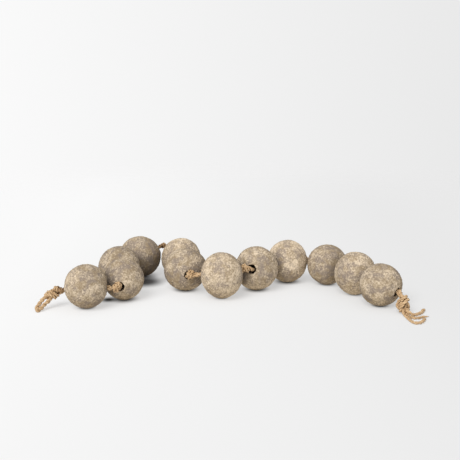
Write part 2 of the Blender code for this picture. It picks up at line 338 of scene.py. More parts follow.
# %% Lay the four cords
cords = []
for name, corners, far_end, lay, turn, seed, taper, thickness, pressed, fan in (
    ("hanging_loop_twine", HANGING_LOOP, "object", "hanging", 0.4, 11, 1.0, 1.24, LOOP_PRESSED, None),
    ("upper_end_twine", UPPER_END, "bare", "loose", 1.9, 12, 1.25, 1.02, 0.0, (46, 0.5, 3.4)),
    ("middle_end_twine", MIDDLE_END, "bare", "loose", 0.2, 13, 0.3, 0.84, 0.0, (16, 0.12, 4.5)),
    ("lower_end_twine", LOWER_END, "bare", "loose", 2.6, 14, 1.0, 0.94, 0.0, (40, 0.3, 2.8)),
):
    line = route_of(corners)
    tubes = free_strand(line, turn, seed, taper, thickness, pressed)
    if fan:
        count, spread, length = fan
        tubes += frayed_tip(line, STRAND_WIDTH * taper, count, spread, length * MM, seed)
    cord = piece_of_tubes(name, tubes)
    cords.append(cord)
    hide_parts(name.replace("_twine", ""))
    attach(cord, "root")
    float(along(line)[-1])
    print("%s: %.0f mm of twine" % (name, along(line)[-1] / MM))

# %% [markdown]
# ## Where the balls stand
# One row a ball, in the order of the string: its width and height, the gap to the next one and
# the way it lies, the ways its hole leaves it at both sides, how far the hole is off centre, and
# how far below the hole's middle the twine lies. Lengths are in millimetres and turns in degrees.

# %% The balls' sizes and holes
HOLE_WIDTH = 14.0 * MM
FLAT_DEPTH = 0.8 * MM
UNEVENNESS = 0.8 * MM
PAIR_WIDTH = 6.8 * MM
SEAT_GAP = 0.4 * MM
MOUTH_DEPTH = 1.0 * MM
WIDTH, HEIGHT, GAP, HEADING, IN_TURN, IN_TILT, OUT_TURN, OUT_TILT, ASIDE, LOW = range(10)
BALLS = (
    (62.1, 64.0, 1.8, 38.7, 180.0, -5.0, 0.0, -3.0, 3.0, 3.2),
    (60.3, 62.5, 0.4, 103.1, 265.0, -6.5, 85.0, 5.0, 0.0, 0.0),
    (64.9, 65.2, 0.4, 66.7, 295.0, 6.0, 110.0, -5.0, 0.0, 0.0),
    (66.8, 66.2, 2.4, -7.9, 210.0, -14.0, 30.0, 19.0, 0.0, 0.0),
    (62.8, 66.0, 0.4, -80.8, 112.0, 14.0, 286.0, -4.0, 0.0, 0.0),
    (66.7, 65.2, 3.8, -35.9, 95.0, 0.0, 282.0, -1.0, 0.0, 0.0),
    (63.1, 69.4, 3.3, 38.5, 180.0, 0.0, 6.0, 6.0, 4.0, 0.0),
    (66.0, 67.8, 0.4, 40.2, 254.0, 12.0, 76.0, -12.0, 0.0, 0.0),
    (63.5, 67.4, 0.5, -11.8, 191.0, -6.0, 12.0, 6.0, 0.0, 0.0),
    (63.4, 63.1, 0.4, -55.2, 145.0, 0.0, 325.0, 0.0, 0.0, 0.0),
    (63.5, 65.2, 0.4, -62.8, 107.0, -2.0, 294.0, 2.0, 0.0, 0.0),
    (61.7, 62.3, 0.0, 0.0, 120.0, 4.0, -46.0, -11.0, 0.0, 0.0),
)

# %% Place the balls
def direction(turn, tilt):
    turn, tilt = math.radians(turn), math.radians(tilt)
    return np.array((math.cos(tilt) * math.cos(turn), math.cos(tilt) * math.sin(turn), math.sin(tilt)))


def dent(number, ways):
    """How far the hand-formed surface lies under the full size, for each way from the middle."""
    x, y, z = np.moveaxis(np.asarray(ways, float), -1, 0)
    waves = (np.sin(3.1 * (x + 0.4 * y) + 1.7 * number) + np.sin(3.7 * (y + 0.5 * z) + 2.3 * number)
             + np.sin(4.3 * (z - 0.5 * x) + 3.1 * number))
    return UNEVENNESS * (0.5 + waves / 6)


middles = [from_first_ball(0, 0, BALLS[0][HEIGHT] / 2 - FLAT_DEPTH / MM)]
for number, (ball, following) in enumerate(zip(BALLS, BALLS[1:]), start=1):
    way = direction(ball[HEADING], 0)
    apart = (ball[WIDTH] / 2 + ball[GAP] + following[WIDTH] / 2) * MM
    place = middles[-1] + way * (apart - dent(number, way) - dent(number + 1, -way))
    place[2] = following[HEIGHT] * MM / 2 - FLAT_DEPTH
    middles.append(place)


def hole_middle(ball, middle):
    return middle + np.array((0, ball[ASIDE] * MM, 0))


def hole_way_point(ball, middle, turn, tilt, past):
    """Where the middle line of a ball's hole comes out, moved past the surface by past."""
    way, start = direction(turn, tilt), hole_middle(ball, middle)
    halves = np.array((ball[WIDTH], ball[WIDTH], ball[HEIGHT])) * MM / 2
    near, ray = (start - middle) / halves, way / halves
    reach = (-near @ ray + math.sqrt((near @ ray) ** 2 - ray @ ray * (near @ near - 1))) / (ray @ ray)
    return start + way * (reach + past)


print("ball middles in mm:", [tuple(float(v) for v in (middle / MM).round(1)) for middle in middles])

# %% [markdown]
# ## The balls
# Each ball is paper pulp pressed round a peg by hand. It starts as an icosphere of its size at
# its place, because that has no poles. In edit mode it is stretched to its height and cut flat
# where it rests. Two pegs then leave the hole, bored from both sides to the middle. Voxels give
# the whole skin one even mesh, smoothing wears the hole's rim, and displacing it with noise of
# several sizes gives the lumps of the hand, the clots of the pulp, its creases and its pits.

# %% Pick only one thing
def pick_nothing():
    bpy.ops.object.select_all(action="DESELECT")


def pick(thing):
    pick_nothing()
    thing.select_set(True)
    bpy.context.view_layer.objects.active = thing


def apply_modifier(thing, kind, **settings):
    pick(thing)
    change = thing.modifiers.new(kind.title(), kind)
    for name, value in settings.items():
        setattr(change, name, value)
    bpy.ops.object.modifier_apply(modifier=change.name)


def corner_places(mesh):
    places = np.empty(len(mesh.vertices) * 3, np.float32)
    mesh.vertices.foreach_get("co", places)
    return places.reshape(-1, 3).astype(float)


def set_corner_places(mesh, places):
    mesh.vertices.foreach_set("co", places.astype(np.float32).ravel())
    mesh.update()


# %% Form a ball and cut its flat
def edit_all():
    bpy.ops.object.mode_set(mode="EDIT")
    bpy.ops.mesh.select_all(action="SELECT")


def form_ball(number, ball, middle):
    pick_nothing()
    bpy.ops.mesh.primitive_ico_sphere_add(subdivisions=5, radius=ball[WIDTH] * MM / 2, location=middle)
    formed = bpy.context.object
    formed.name = "pulp_ball_%02d" % number
    bpy.ops.object.transform_apply(location=True, rotation=False, scale=False)
    edit_all()
    bpy.ops.transform.resize(value=(1, 1, ball[HEIGHT] / ball[WIDTH]), center_override=tuple(middle))
    bpy.ops.object.mode_set(mode="OBJECT")
    places = corner_places(formed.data)
    ways = places - middle
    ways /= norm(ways, axis=1, keepdims=True)
    set_corner_places(formed.data, places - ways * dent(number, ways)[:, None])
    edit_all()
    bpy.ops.mesh.bisect(plane_co=(0, 0, 0), plane_no=(0, 0, 1), use_fill=True, clear_inner=True)
    bpy.ops.object.mode_set(mode="OBJECT")
    return formed


# %% Bore the hole
PEG_REACH = 8.0 * MM
PEG_TIP_WIDTH = 9.0 * MM
PEG_OVERLAP = 2 * MM


def bore(formed, ball, middle, turn, tilt):
    """Leaves the hole of one peg, from outside the ball to a little past the hole's middle."""
    start = hole_middle(ball, middle)
    end = hole_way_point(ball, middle, turn, tilt, PEG_REACH)
    start = start - np.array(Vector(end - start).normalized()) * PEG_OVERLAP
    way = Vector(end - start)
    mouth_width = HOLE_WIDTH + (HOLE_WIDTH - PEG_TIP_WIDTH) * PEG_REACH / (way.length - PEG_REACH)
    pick_nothing()
    bpy.ops.mesh.primitive_cone_add(vertices=28, radius1=PEG_TIP_WIDTH / 2, radius2=mouth_width / 2,
                                    depth=way.length, location=(start + end) / 2,
                                    rotation=way.to_track_quat("Z", "Y").to_euler())
    peg = bpy.context.object
    apply_modifier(formed, "BOOLEAN", operation="DIFFERENCE", solver="EXACT", object=peg)
    bpy.data.objects.remove(peg, do_unlink=True)


# %% Noise for the skin of dried pulp
def noise_texture(name, kind, size, **settings):
    texture = bpy.data.textures.new(name, kind)
    texture.noise_scale = size
    for key, value in settings.items():
        setattr(texture, key, value)
    return texture


LUMPS = noise_texture("lumps", "CLOUDS", 11 * MM, noise_depth=1)
CLOTS = noise_texture("clots", "CLOUDS", 2.6 * MM, noise_depth=2)
CREASES = noise_texture("creases", "VORONOI", 4.2 * MM, weight_1=-1.0, weight_2=1.0)
PITS = noise_texture("pits", "CLOUDS", 1.9 * MM, noise_depth=0, contrast=2.6, intensity=0.72)

# %% [markdown]
# ## How pale each ball is
# The balls weren't made of one bowl of pulp, so their paleness differs. Where balls meet, and
# below the fourth one at its front right, the shade has to be deeper than this studio's light
# makes it. So the pulp itself is darkened there, and stays darker under any light.

# %% Paleness and shade
PALENESS = (0.0, -0.01, -0.06, -0.02, 0.11, -0.03, 0.12, 0.05, 0.145, -0.06, 0.05, -0.01)
TOUCH_SHADE = (0.24, 0.0, 0.0, 0.06, 0.1, 0.15, 0.30, 0.31, 0.0, 0.24, 0.05)
TOUCH_EDGE = (12 * MM, 28 * MM)
SHADED_BALL = 4
SHADE = 0.45
SHADE_UP = (0.19, -0.19, 0.96)
SHADE_TOP = (0.20, 0.76)
SHADE_SIDE = (0.64, -0.77, 0.0)
SHADE_BACK = (-0.5, 0.2)


def soft_step(values, low, high):
    share = ((values - low) / (high - low)).clip(0, 1)
    return share * share * (3 - 2 * share)


touches = []
for ball, next_ball, middle, next_middle in zip(BALLS, BALLS[1:], middles, middles[1:]):
    share = (ball[WIDTH] + ball[GAP]) / (ball[WIDTH] + next_ball[WIDTH] + 2 * ball[GAP])
    touches.append(middle + (next_middle - middle) * share)


def paleness_of(number, places, ways):
    """A ball's paleness at each point. The ways are those from its middle to the points."""
    pale = np.full(len(ways), PALENESS[number - 1])
    for touch, shade in zip(touches, TOUCH_SHADE):
        pale -= shade * (1 - soft_step(norm(places - touch, axis=1), *TOUCH_EDGE))
    if number == SHADED_BALL:
        low = 1 - soft_step(ways @ SHADE_UP, *SHADE_TOP)
        pale -= SHADE * low * soft_step(ways @ SHADE_SIDE, *SHADE_BACK)
    return pale


# %% Give a ball its skin
SKIN_VOXEL = 0.95 * MM


def keep(mesh, name, values):
    """Keeps one value a point as an attribute, which the finish reads."""
    mesh.attributes.new(name, "FLOAT", "POINT").data.foreach_set("value", values.astype(np.float32))


def displace(formed, texture, strength, mid_level):
    apply_modifier(formed, "DISPLACE", texture=texture, texture_coords="LOCAL", strength=strength,
                   mid_level=mid_level)


def roughen(formed, number, ball, middle):
    """Displaces the skin, and keeps how far each point rose, how deep it lies and how pale it is."""
    apply_modifier(formed, "REMESH", mode="VOXEL", voxel_size=SKIN_VOXEL)
    apply_modifier(formed, "SMOOTH", factor=0.5, iterations=4)
    displace(formed, LUMPS, 1.0 * MM, 0.5)
    smooth = corner_places(formed.data)
    normals = np.empty(len(smooth) * 3, np.float32)
    formed.data.vertices.foreach_get("normal", normals)
    displace(formed, CLOTS, 0.5 * MM, 0.5)
    displace(formed, CREASES, 0.3 * MM, 0.25)
    displace(formed, PITS, -0.35 * MM, 0.0)
    rough = corner_places(formed.data)
    rise = ((rough - smooth) * normals.reshape(-1, 3)).sum(axis=1)
    rough[:, 2] = rough[:, 2].clip(0)
    set_corner_places(formed.data, rough)
    ways = rough - middle
    reach = norm(ways, axis=1)
    ways /= reach[:, None]
    halves = np.array((ball[WIDTH], ball[WIDTH], ball[HEIGHT])) * MM / 2
    skin = 1 / norm(ways / halves, axis=1) - dent(number, ways)
    keep(formed.data, "relief", rise / MM)
    keep(formed.data, "depth", (skin - reach) / MM)
    keep(formed.data, "paleness", paleness_of(number, rough, ways))
    formed.data.shade_smooth()
    return rise


# %% Make all twelve balls
balls = []
for number, (ball, middle) in enumerate(zip(BALLS, middles), start=1):
    formed = form_ball(number, ball, middle)
    bore(formed, ball, middle, ball[IN_TURN], ball[IN_TILT])
    bore(formed, ball, middle, ball[OUT_TURN], ball[OUT_TILT])
    rise = roughen(formed, number, ball, middle)
    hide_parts("ball_%02d" % number)
    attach(formed, "root")
    balls.append(formed)
    low, high = rise.min() / MM, rise.max() / MM
    print("ball %d: %d faces, relief %.2f to %.2f mm" % (number, len(formed.data.polygons), low, high))

# %% [markdown]
# ## Knots that are really tied
# A knot drawn by hand never looks right, so these are tied loose and pulled tight. A loose
# overhand knot is a ring that winds round itself. Its points are drawn towards their neighbours,
# and wherever two stretches come nearer than the twine is thick they push each other away. After
# a few hundred rounds the knot is tight. This is done once for the doubled string, and each knot
# of the garland is a copy, turned, scaled and left to settle between its own strands' ends.

# %% Make a loose overhand knot
def overhand(size):
    """A loose overhand knot in a line along X: its ring leans to +Y."""
    turns = np.linspace(2 * math.pi - 0.12, 0.12, 90)
    ring = 2 + np.cos(3 * turns)
    places = (ring * np.sin(2 * turns), 3 - ring * np.cos(2 * turns), np.sin(3 * turns))
    return np.stack(places, axis=1) * size


# %% Pull a knot tight
def pull_tight(lines, thickness, spacing, rounds, centre=None, still=()):
    """Draws knotted lines tight between their ends. The still lines push but don't move."""
    moving = len(lines)
    lines = [respace(line, spacing) for line in (*lines, *still)]
    for turn in range(rounds):
        if turn % 15 == 0:
            lines = [respace(line, spacing) for line in lines]
            owner = np.concatenate([np.full(len(line), index) for index, line in enumerate(lines)])
            place = np.concatenate([along(line) for line in lines])
            may_touch = (owner[:, None] != owner) | (np.abs(place[:, None] - place) > 2 * thickness)
            free = np.concatenate([np.r_[False, np.full(len(line) - 2, index < moving), False]
                                   for index, line in enumerate(lines)])[:, None]
            cuts = np.cumsum([len(line) for line in lines])[:-1]
        for line in lines[:moving]:
            line[1:-1] += 0.35 * (line[:-2] + line[2:] - 2 * line[1:-1])
        points = np.concatenate(lines)
        for _ in range(2):
            gaps = points[:, None] - points
            apart = norm(gaps, axis=2) + 1e-9
            press = np.where(may_touch & (apart < thickness), (thickness - apart) / apart, 0)
            shove = (press[:, :, None] * gaps).sum(axis=1) * 0.35
            far = norm(shove, axis=1, keepdims=True) + 1e-12
            points = points + free * shove * np.minimum(1, 0.4 * thickness / far)
        if centre is not None:
            pressed = free[:, 0] * (may_touch & (apart < 1.2 * thickness)).sum(axis=1)
            if pressed.any():
                shift = centre - (points * pressed[:, None]).sum(axis=0) / pressed.sum()
                share = np.exp(-(norm(points - centre, axis=1) / (4 * thickness)) ** 2)
                points = points + free * share[:, None] * shift * 0.15
        lines = np.split(points, cuts)
    return lines[:moving]


# %% Tie a pair of strands
TIGHT = 3.1 * MM
TIED_REACH = 22 * MM


def tied_pair(size):
    """A tight overhand knot in two strands side by side, round the origin and along X."""
    ring = overhand(size)
    lines = []
    for side in (-0.5, 0.5):
        loose = ring + (0, 0, side * 1.15 * TIGHT)
        ends = np.array(((-TIED_REACH, 0, side * TIGHT), (TIED_REACH, 0, side * TIGHT)))
        lines.append(np.concatenate((ends[:1], loose, ends[1:])))
    lines = pull_tight(lines, TIGHT, 1.6 * MM, 450)
    lines = pull_tight(lines, TIGHT, 0.8 * MM, 100)
    middle = np.concatenate([line[np.abs(line[:, 0]) < 5 * MM] for line in lines])
    middle = (middle.max(axis=0) + middle.min(axis=0)) / 2
    return [line - (middle[0], middle[1], 0) for line in lines]


TIED = tied_pair(4.5 * MM)
print("tied pair: strands of %.0f and %.0f mm" % tuple(along(line)[-1] / MM for line in TIED))

# %% Put a knot where it belongs
KNOT_REACH = 8.5 * MM
SETTLED_STEP = 0.85 * MM


def set_knot(starts, ends, centre, ahead, across, scale=1.0, flip=1, still=()):
    """Puts the tied knot between the ends of two lines, and lets it settle there."""
    ahead = unit(ahead)
    across = unit(across - ahead * (across @ ahead))
    turned = np.stack((ahead, np.cross(across, ahead) * flip, across)) * scale
    lines = []
    for tied, start, end in zip(TIED, starts, ends):
        inside = np.flatnonzero(np.abs(tied[:, 0]) < KNOT_REACH)
        core = tied[inside[0]:inside[-1] + 1] @ turned + centre
        lines.append(np.concatenate((np.atleast_2d(start), core, np.atleast_2d(end))))
    return pull_tight(lines, TIGHT * scale, SETTLED_STEP, 130, centre, still)


# %% [markdown]
# ## The strung twine
# The doubled string runs through all the balls. Nobody sees it inside a ball, so a few corners on
# the floor of the hole are enough. In four gaps it is tied as above. Each knot's row says where
# its middle lies, its roll about the string, its scale, 1 or -1 for the way it is tied, and then
# the roll and the lift of the pair where it leaves the ball. Each strand is one long smooth line
# from the hanging loop to the loose ends.

# %% The knots between the balls
OFF_MIDDLE = 0.43
KNOTS = {
    1: ((42.1, 5.0, 28.4), 205.0, 1.14, 1, 60.0, 1.8),
    4: ((97.6, 176.6, 45.6), 60.0, 0.86, 1, 0.0, 0.0),
    6: ((146.3, 50.2, 34.3), 300.0, 1.06, -1, 0.0, 0.0),
    7: ((226.6, 54.1, 42.0), 20.0, 1.02, 1, 0.0, 0.0),
}
drop = np.array((0, 0, -((PEG_TIP_WIDTH - PAIR_WIDTH) / 2 - SEAT_GAP)))
mouths_in, mouths_out, beds = [], [], []
for ball, middle in zip(BALLS, middles):
    low = np.array((0, 0, -ball[LOW] * MM))
    mouths_in.append(hole_way_point(ball, middle, ball[IN_TURN], ball[IN_TILT], -MOUTH_DEPTH) + low)
    mouths_out.append(hole_way_point(ball, middle, ball[OUT_TURN], ball[OUT_TILT], -MOUTH_DEPTH) + low)
    beds.append(hole_middle(ball, middle) + drop)


def across_way(ahead, roll):
    """A way across the string: level at roll 0, and turned about it by roll degrees."""
    ahead = unit(ahead)
    level = unit(np.cross((0, 0, 1), ahead))
    roll = math.radians(roll)
    return level * math.cos(roll) + np.cross(ahead, level) * math.sin(roll)


def half_pair(side, sign=1):
    """From the middle of the pair to the middle of one strand."""
    return side * sign * LOOSE_WIDTH * OFF_MIDDLE


gap_lines, gap_sides = {}, {}
for number in range(1, len(BALLS)):
    start, end = mouths_out[number - 1], mouths_in[number]
    if number in KNOTS:
        place, roll, scale, flip, pair_roll, lift = KNOTS[number]
        side = across_way(end - start, pair_roll)
        half = half_pair(side)
        start = start + (0, 0, lift * MM)
        gap_lines[number] = set_knot((start - half, start + half), (end - half, end + half),
                                     from_first_ball(*place), end - start, across_way(end - start, roll),
                                     scale, flip)
        lengths = [along(line)[-1] / MM for line in gap_lines[number]]
        print("knot after ball %d: strands of %.0f and %.0f mm" % (number, *lengths))
    else:
        side = across_way(end - start, 0)
    gap_sides[number] = side

# %% [markdown]
# ## The two ends of the string
# At the left the pair is knotted at the neck, next to the first ball, and again where the loop
# begins. At the right a bight stands out at the side of the knot, and the strands carry on as the
# loose ends. They run on a little way inside the free cords, so that no gap shows there.

# %% Tie the left end
LOOP_SCALE = 1.36
NECK_SCALE = 1.02
RUN_ON = 5
loop_line = drawn_together(route_of(HANGING_LOOP), LOOP_PRESSED)
loop_knot = from_first_ball(-49.4, -1.4, 19.0)
neck = from_first_ball(-39.3, 2.0, 24.6)
between = (loop_knot + neck) / 2
first_mouth = mouths_in[0]
neck_side = across_way(first_mouth - neck, roll=15)
loop_side = across_way(neck - loop_knot, roll=60)
half, mouth_half = half_pair(loop_side), half_pair(neck_side)
neck_lines = set_knot((between - half, between + half), (first_mouth - mouth_half, first_mouth + mouth_half),
                      neck, first_mouth - neck, across_way(first_mouth - neck, roll=80), NECK_SCALE, flip=-1)
loop_lines = set_knot((loop_line[RUN_ON], loop_line[-1 - RUN_ON]), (between - half, between + half),
                      loop_knot, neck - loop_knot, loop_side, LOOP_SCALE)
left_lines = [np.concatenate((knot[:-1], neck_line)) for knot, neck_line in zip(loop_lines, neck_lines)]

# %% Tie the right end round its bight
TAIL_SCALE = 1.3
TAIL_SPREAD = 2.3
upper, lower = route_of(UPPER_END), route_of(LOWER_END)
tail_knot = from_first_ball(447.4, -22.6, 13.2)
tail_way = from_first_ball(448.0, -29.4, 6.4) - from_first_ball(444.3, -17.5, 22.0)
tail_side = across_way(tail_way, roll=35)
bight = smooth_route([from_first_ball(*corner) for corner in (
    (450.5, -23.5, 12.0), (446.0, -21.0, 18.6), (441.0, -22.0, 17.0), (438.0, -24.2, 12.0),
    (439.2, -27.0, 7.4), (441.8, -28.0, 8.6), (441.8, -26.8, 12.6), (445.4, -25.6, 15.0),
    (448.6, -27.6, 10.0), (448.0, -31.0, 4.6), *MIDDLE_END[:3],
)], SETTLED_STEP)
last_mouth = mouths_out[-1] + np.array((1.6, 0, 1.8)) * MM
half = tail_side * TAIL_SPREAD * MM
tail_lines = set_knot((last_mouth - half, last_mouth + half), (lower[0], upper[0]),
                      tail_knot, tail_way, tail_side, TAIL_SCALE, still=(bight,))
right_lines = [np.concatenate((knot, end[1:1 + RUN_ON])) for knot, end in zip(tail_lines, (lower, upper))]
print("tail strands: %s mm" % [round(float(along(line)[-1] / MM)) for line in right_lines])

# %% Join each strand from end to end
HIDDEN_STEP = 3.0 * MM
HIDDEN_GAP = 1 * MM


def strand_through(side_sign, left, right):
    """One strand of the pair through the whole garland, and which of its points can be seen."""
    dense = [left]
    seen = [np.ones(len(left), bool)]
    last_side = neck_side
    for number in range(1, len(BALLS) + 1):
        following = gap_sides.get(number, tail_side)
        if number in gap_lines:
            line = gap_lines[number][0 if side_sign < 0 else 1]
            side = following
        elif number < len(BALLS):
            side = following if following @ last_side >= 0 else -following
            half = half_pair(side, side_sign)
            line = respace(np.array((mouths_out[number - 1] + half, mouths_in[number] + half)), 1.5 * MM)
        else:
            line, side = right, following
        bed = beds[number - 1] + half_pair(unit(last_side + side * 1.01), side_sign)
        ends = np.concatenate((dense[-1][-2:], line[:2]))
        inner = smooth_route((ends[0], ends[1], bed, ends[2], ends[3]), HIDDEN_STEP)
        inner = inner[norm(inner[:, None] - ends, axis=2).min(axis=1) > HIDDEN_GAP]
        dense += [inner, line]
        seen += [np.zeros(len(inner), bool), np.ones(len(line), bool)]
        last_side = side
    return np.concatenate(dense), np.concatenate(seen)


# %% Make the strung twine
SQUEEZED = 1.18
SQUEEZE_REACH = 6 * MM
SQUEEZE_FADE = 5 * MM
BIGHT_SCALE = 1.25
END_TAPER = 5 * MM
STRUNG_HAIRS = 1.0 * MM


def widths_of(line, knots):
    """The strand's width along its line: it is squeezed in the knots."""
    widths = np.full(len(line), LOOSE_WIDTH)
    for centre, scale in knots:
        near = norm(line - centre, axis=1)
        squeeze = min(1.0, TIGHT * scale * SQUEEZED / LOOSE_WIDTH)
        widths *= 1 - (1 - squeeze) * (1 - np.clip((near - SQUEEZE_REACH) / SQUEEZE_FADE, 0, 1))
    return widths


knots = [(from_first_ball(*knot[0]), knot[2]) for knot in KNOTS.values()]
knots += [(loop_knot, LOOP_SCALE), (neck, NECK_SCALE), (tail_knot, TAIL_SCALE)]
tubes = []
for sign, left, right in zip((-1, 1), left_lines, right_lines):
    line, seen = strand_through(sign, left, right)
    at = along(line)
    widths = widths_of(line, knots)
    widths *= np.interp(at, (0, END_TAPER), (0.5, 1)) * np.interp(at[-1] - at, (0, END_TAPER), (0.5, 1))
    tubes += lay_strand(line, widths, 0.9 * sign, 20 + sign)
    edges = np.flatnonzero(np.diff(np.r_[0, seen.astype(int), 0]))
    for begin, stop in zip(edges[::2], edges[1::2]):
        if stop - begin > 5:
            shown, seed = slice(begin, stop), 100 + int(begin) + sign
            tubes += loose_fibres(line[shown], widths[shown], STRUNG_HAIRS, seed)
    print("strand of %.0f mm in %d points" % (at[-1] / MM, len(line)))
widths = widths_of(bight, [(tail_knot, BIGHT_SCALE)])
tubes += lay_strand(bight, widths, 1.1, 31) + loose_fibres(bight, widths, STRUNG_HAIRS, 131)
twine = piece_of_tubes("strung_twine", tubes)
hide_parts("twine")
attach(twine, "root")

# %% [markdown]
# ## The finish of the pulp
# Dried paper pulp is matte. Light clots of paper stand on a darker, greyer ground, and the high
# places are paler. The attribute relief knows what stands up, paleness is the ball's own tone
# with the painted shade, and depth tells where the holes get their painted shade. Noise of several
# sizes adds patches, flecks and specks. All of it reads the object's own coordinates, so every
# ball gets its own part of the pattern. Near the table the pulp is painted a little darker and
# browner, as shade.

# %% Helpers for nodes
def new_material(name):
    made = bpy.data.materials.new(name)
    made.use_nodes = True
    return made, made.node_tree, made.node_tree.nodes["Principled BSDF"]


def plug(tree, socket, value):
    """Links an input to another node's output, or gives it a constant."""
    if isinstance(value, bpy.types.NodeSocket):
        tree.links.new(value, socket)
    else:
        socket.default_value = value


def set_inputs(tree, node, **values):
    """Plugs each value into the input of its name, which has _ for each space."""
    for name, value in values.items():
        plug(tree, node.inputs[name.replace("_", " ")], value)


def noise_node(tree, vector, scale, detail=2.0, rough=0.5, warp=0.0):
    node = tree.nodes.new("ShaderNodeTexNoise")
    set_inputs(tree, node, Vector=vector, Scale=scale, Detail=detail, Roughness=rough, Distortion=warp)
    return node.outputs["Fac"]


def math_node(tree, kind, *values):
    node = tree.nodes.new("ShaderNodeMath")
    node.operation = kind
    for socket, value in zip(node.inputs, values):
        plug(tree, socket, value)
    return node.outputs[0]


def weighted_sum(tree, start, *terms):
    """start plus each (weight, value) pair."""
    total = start
    for weight, value in terms:
        total = math_node(tree, "MULTIPLY_ADD", value, weight, total)
    return total


# %% Helpers for colours
def ramp_node(tree, value, stops):
    node = tree.nodes.new("ShaderNodeValToRGB")
    ramp = node.color_ramp
    while len(ramp.elements) < len(stops):
        ramp.elements.new(0.5)
    for element, (place, colour) in zip(ramp.elements, stops):
        element.position = place
        element.color = (*colour, 1.0)
    tree.links.new(value, node.inputs[0])
    return node.outputs[0]


def mix_node(tree, share, first, second, kind="MIX"):
    """The first colour with a share of the second one mixed in."""
    node = tree.nodes.new("ShaderNodeMix")
    node.data_type = "RGBA"
    node.blend_type = kind
    for index, value in ((0, share), (6, first), (7, second)):
        plug(tree, node.inputs[index], (*value, 1.0) if isinstance(value, tuple) else value)
    return node.outputs[2]


# %% Helpers for places, edges and bumps
def step_node(tree, value, low, high):
    """0 below low, 1 above high and a soft step between."""
    node = tree.nodes.new("ShaderNodeMapRange")
    node.interpolation_type = "SMOOTHSTEP"
    set_inputs(tree, node, Value=value, From_Min=low, From_Max=high)
    return node.outputs["Result"]


def axes_of(tree, vector):
    node = tree.nodes.new("ShaderNodeSeparateXYZ")
    tree.links.new(vector, node.inputs[0])
    return node.outputs


def attribute_node(tree, name):
    node = tree.nodes.new("ShaderNodeAttribute")
    node.attribute_name = name
    return node.outputs["Fac"]


def away_from(tree, coordinates, place, near, far):
    """0 nearer the place than near, 1 past far and a soft step between."""
    apart = tree.nodes.new("ShaderNodeVectorMath")
    apart.operation = "DISTANCE"
    plug(tree, apart.inputs[0], coordinates)
    plug(tree, apart.inputs[1], place)
    return step_node(tree, apart.outputs["Value"], near, far)


def make_rough(tree, shader, height, strength, distance):
    bump = tree.nodes.new("ShaderNodeBump")
    set_inputs(tree, bump, Height=height, Strength=strength, Distance=distance)
    set_inputs(tree, shader, Normal=bump.outputs["Normal"])


# %% Mix the pulp
GREY_GROUND = (0.235, 0.187, 0.148)
BROWN_GROUND = (0.275, 0.207, 0.131)
DULL_CLOT = (0.400, 0.319, 0.226)
PALE_CLOT = (0.615, 0.502, 0.365)
pulp, tree, shader = new_material("dried_paper_pulp")
coordinates = tree.nodes.new("ShaderNodeTexCoord").outputs["Object"]
relief = attribute_node(tree, "relief")
paleness = attribute_node(tree, "paleness")
patches = noise_node(tree, coordinates, 48, 2.0, 0.5, 0.4)
warmth = noise_node(tree, coordinates, 85, 1.0, 0.5)
crust = noise_node(tree, coordinates, 170, 3.0, 0.62, 0.9)
flecks = noise_node(tree, coordinates, 420, 2.5, 0.6, 0.5)
specks = noise_node(tree, coordinates, 1000, 1.5, 0.6)
layers = (0.60, patches), (0.80, crust), (0.75, flecks), (0.14, relief), (0.5, paleness)
cover = step_node(tree, weighted_sum(tree, -0.65, *layers), 0.23, 0.64)
layers = (0.8, patches), (0.9, flecks), (0.5, specks), (0.25, relief)
shine = step_node(tree, weighted_sum(tree, -0.55, *layers), 0.30, 0.80)
ground = mix_node(tree, step_node(tree, warmth, 0.4, 0.6), GREY_GROUND, BROWN_GROUND)
pale = mix_node(tree, shine, DULL_CLOT, PALE_CLOT)
colour = mix_node(tree, cover, ground, pale)
# The ball's own tone, with the painted shade where balls meet and below the fourth ball.
tone_and_painted_shade = math_node(tree, "MULTIPLY_ADD", paleness, 0.85, 1.0)
colour = mix_node(tree, 1.0, colour, tone_and_painted_shade, "MULTIPLY")

# %% Add its pits, the painted shade in the holes and near the table
PIT_BROWN = (0.150, 0.112, 0.080)
HOLE_PAINTED_SHADE = (0.110, 0.083, 0.062)
LOW_PAINTED_SHADE = (0.91, 0.86, 0.76)
pits = noise_node(tree, coordinates, 560, 2.0, 0.6, 0.4)
pits = step_node(tree, weighted_sum(tree, 1.0, (-1.0, pits), (0.25, crust)), 0.72, 0.90)
colour = mix_node(tree, pits, colour, PIT_BROWN)
# Painted shade: deep in the holes the pulp is coloured dark brown.
inside = step_node(tree, attribute_node(tree, "depth"), 1.0, 5.0)
colour = mix_node(tree, inside, colour, HOLE_PAINTED_SHADE)
# Painted shade: near the table the pulp is coloured darker and browner.
lifted = step_node(tree, axes_of(tree, coordinates)["Z"], 4 * MM, 34 * MM)
painted_low_shade = mix_node(tree, lifted, LOW_PAINTED_SHADE, (1.0, 1.0, 1.0))
colour = mix_node(tree, 1.0, colour, painted_low_shade, "MULTIPLY")
set_inputs(tree, shader, Base_Color=colour, Roughness=0.93, Specular_IOR_Level=0.25)
grain = weighted_sum(tree, 0.0, (0.45, cover), (0.8, flecks), (0.4, specks), (-0.6, pits))
make_rough(tree, shader, grain, 0.8, 0.3 * MM)
for formed in balls:
    formed.data.materials.append(pulp)

# %% [markdown]
# ## The finish of the twine
# Jute is golden brown and dull. Its fibres show as fine streaks of lighter and darker gold, so
# the noise is read from the attribute fibre, which is drawn out along the fibres. Like the balls,
# the twine is darkened for its shade at the knot after the fourth ball and at the neck.

